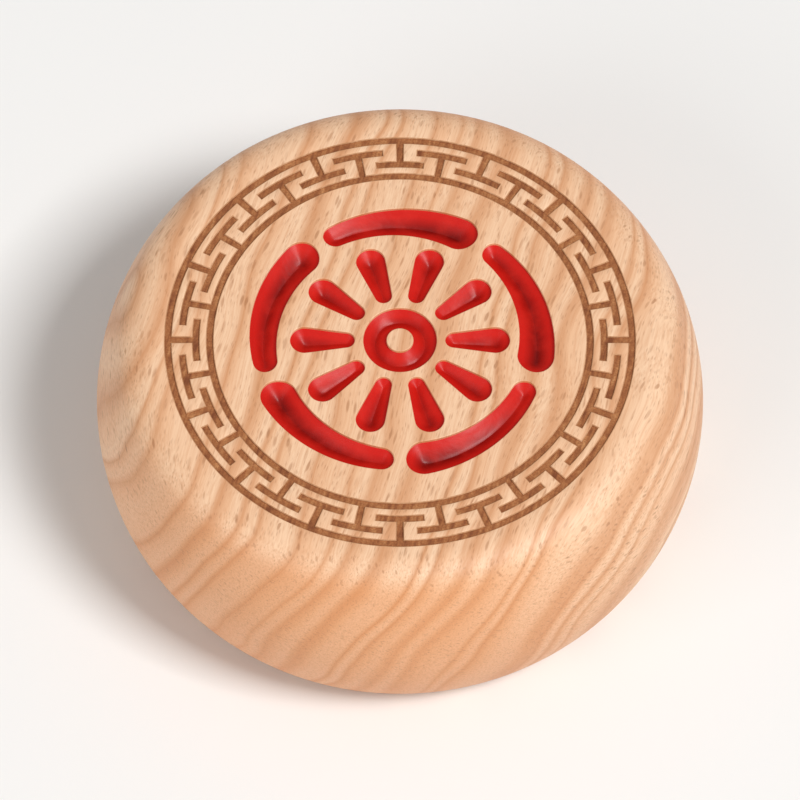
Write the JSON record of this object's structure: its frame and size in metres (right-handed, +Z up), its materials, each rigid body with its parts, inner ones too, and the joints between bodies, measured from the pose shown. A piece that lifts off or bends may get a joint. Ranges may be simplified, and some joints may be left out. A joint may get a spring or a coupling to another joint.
{
  "type": "xiangqi piece",
  "caption": "Turned beech xiangqi piece: a squat barrel-sided wooden counter with a burnt fret ring and a carved, red-painted wheel emblem on its flat upper face.",
  "frame": {"origin": "middle of the flat base, on the surface that the piece stands on", "axes": "+Z up, from the base to the carved face; +Y towards the top of the emblem, away from the player"},
  "size_m": [0.05, 0.05, 0.02],
  "materials": {
    "beech": "fine-sanded, thin satin lacquer",
    "burnt_line": "matte laser-burnt char",
    "red_paint": "glossy enamel in carved strokes"
  },
  "bodies": {
    "root": {"turned_body": "beech", "outer_fret_line": "burnt_line", "inner_fret_line": "burnt_line", "felloe_paint_1": "red_paint", "felloe_paint_2": "red_paint", "felloe_paint_3": "red_paint", "felloe_paint_4": "red_paint", "felloe_paint_5": "red_paint", "spoke_paint_1": "red_paint", "spoke_paint_2": "red_paint", "spoke_paint_3": "red_paint", "spoke_paint_4": "red_paint", "spoke_paint_5": "red_paint", "spoke_paint_6": "red_paint", "spoke_paint_7": "red_paint", "spoke_paint_8": "red_paint", "spoke_paint_9": "red_paint", "spoke_paint_10": "red_paint", "hub_paint": "red_paint"}
  },
  "joints": []
}
